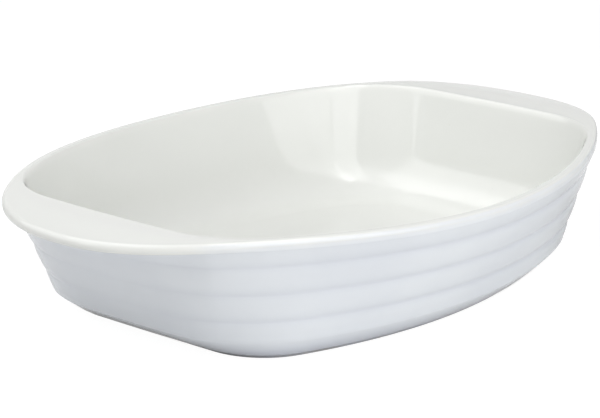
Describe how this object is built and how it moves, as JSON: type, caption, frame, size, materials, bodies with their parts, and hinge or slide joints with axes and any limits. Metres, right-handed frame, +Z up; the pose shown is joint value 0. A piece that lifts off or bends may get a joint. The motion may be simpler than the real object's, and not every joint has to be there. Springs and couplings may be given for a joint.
{
  "type": "baking dish",
  "caption": "Stoneware baking dish with bowed ribbed sides, a broad ledge handle at each end, a smooth glazed well with a flat floor, and a bare foot ring.",
  "frame": {"origin": "centre of the dish on the table plane under its foot ring", "axes": "+X from the left handle to the right handle, +Y from the front wall to the back wall, +Z up"},
  "size_m": [0.39, 0.2652, 0.0726],
  "materials": {
    "fired_clay": "matt fired stoneware body",
    "bare_foot": "unglazed stoneware, ground flat",
    "cool_glaze": "glossy cool white glaze",
    "warm_glaze": "glossy warm white glaze"
  },
  "bodies": {
    "root": {"foot_ring": "bare_foot", "well_floor": "fired_clay", "front_wall": "fired_clay", "back_wall": "fired_clay", "left_end_wall": "fired_clay", "right_end_wall": "fired_clay", "front_rim": "fired_clay", "back_rim": "fired_clay", "left_handle": "fired_clay", "right_handle": "fired_clay", "outer_glaze": "cool_glaze", "inner_glaze": "warm_glaze"}
  },
  "joints": []
}
